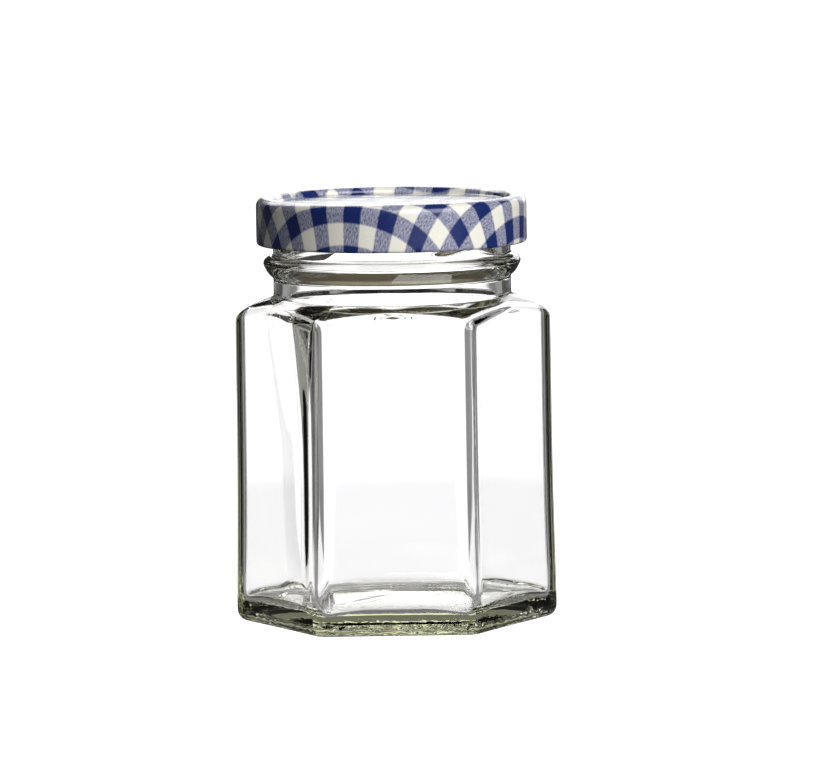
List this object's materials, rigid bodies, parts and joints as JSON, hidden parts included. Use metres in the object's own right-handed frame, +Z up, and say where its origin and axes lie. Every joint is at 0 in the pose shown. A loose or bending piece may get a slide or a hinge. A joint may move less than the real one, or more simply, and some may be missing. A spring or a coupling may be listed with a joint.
{
  "type": "hexagonal glass jar with twist-off lid",
  "caption": "Empty six-sided clear glass jar with a round threaded neck, closed by a pressed metal twist-off lid printed in blue and white gingham.",
  "frame": {"origin": "middle of the base, on the surface the jar stands on", "axes": "+Z up along the jar's axis; -Y out of a flat side, the picture's front; +X and -X through two corners"},
  "size_m": [0.0606, 0.0532, 0.0803],
  "materials": {
    "glass": "clear, fire-polished",
    "lid_print": "gloss lacquer over a blue and white check print"
  },
  "bodies": {
    "root": {"glass_jar": "glass", "lid": "lid_print"}
  },
  "joints": []
}
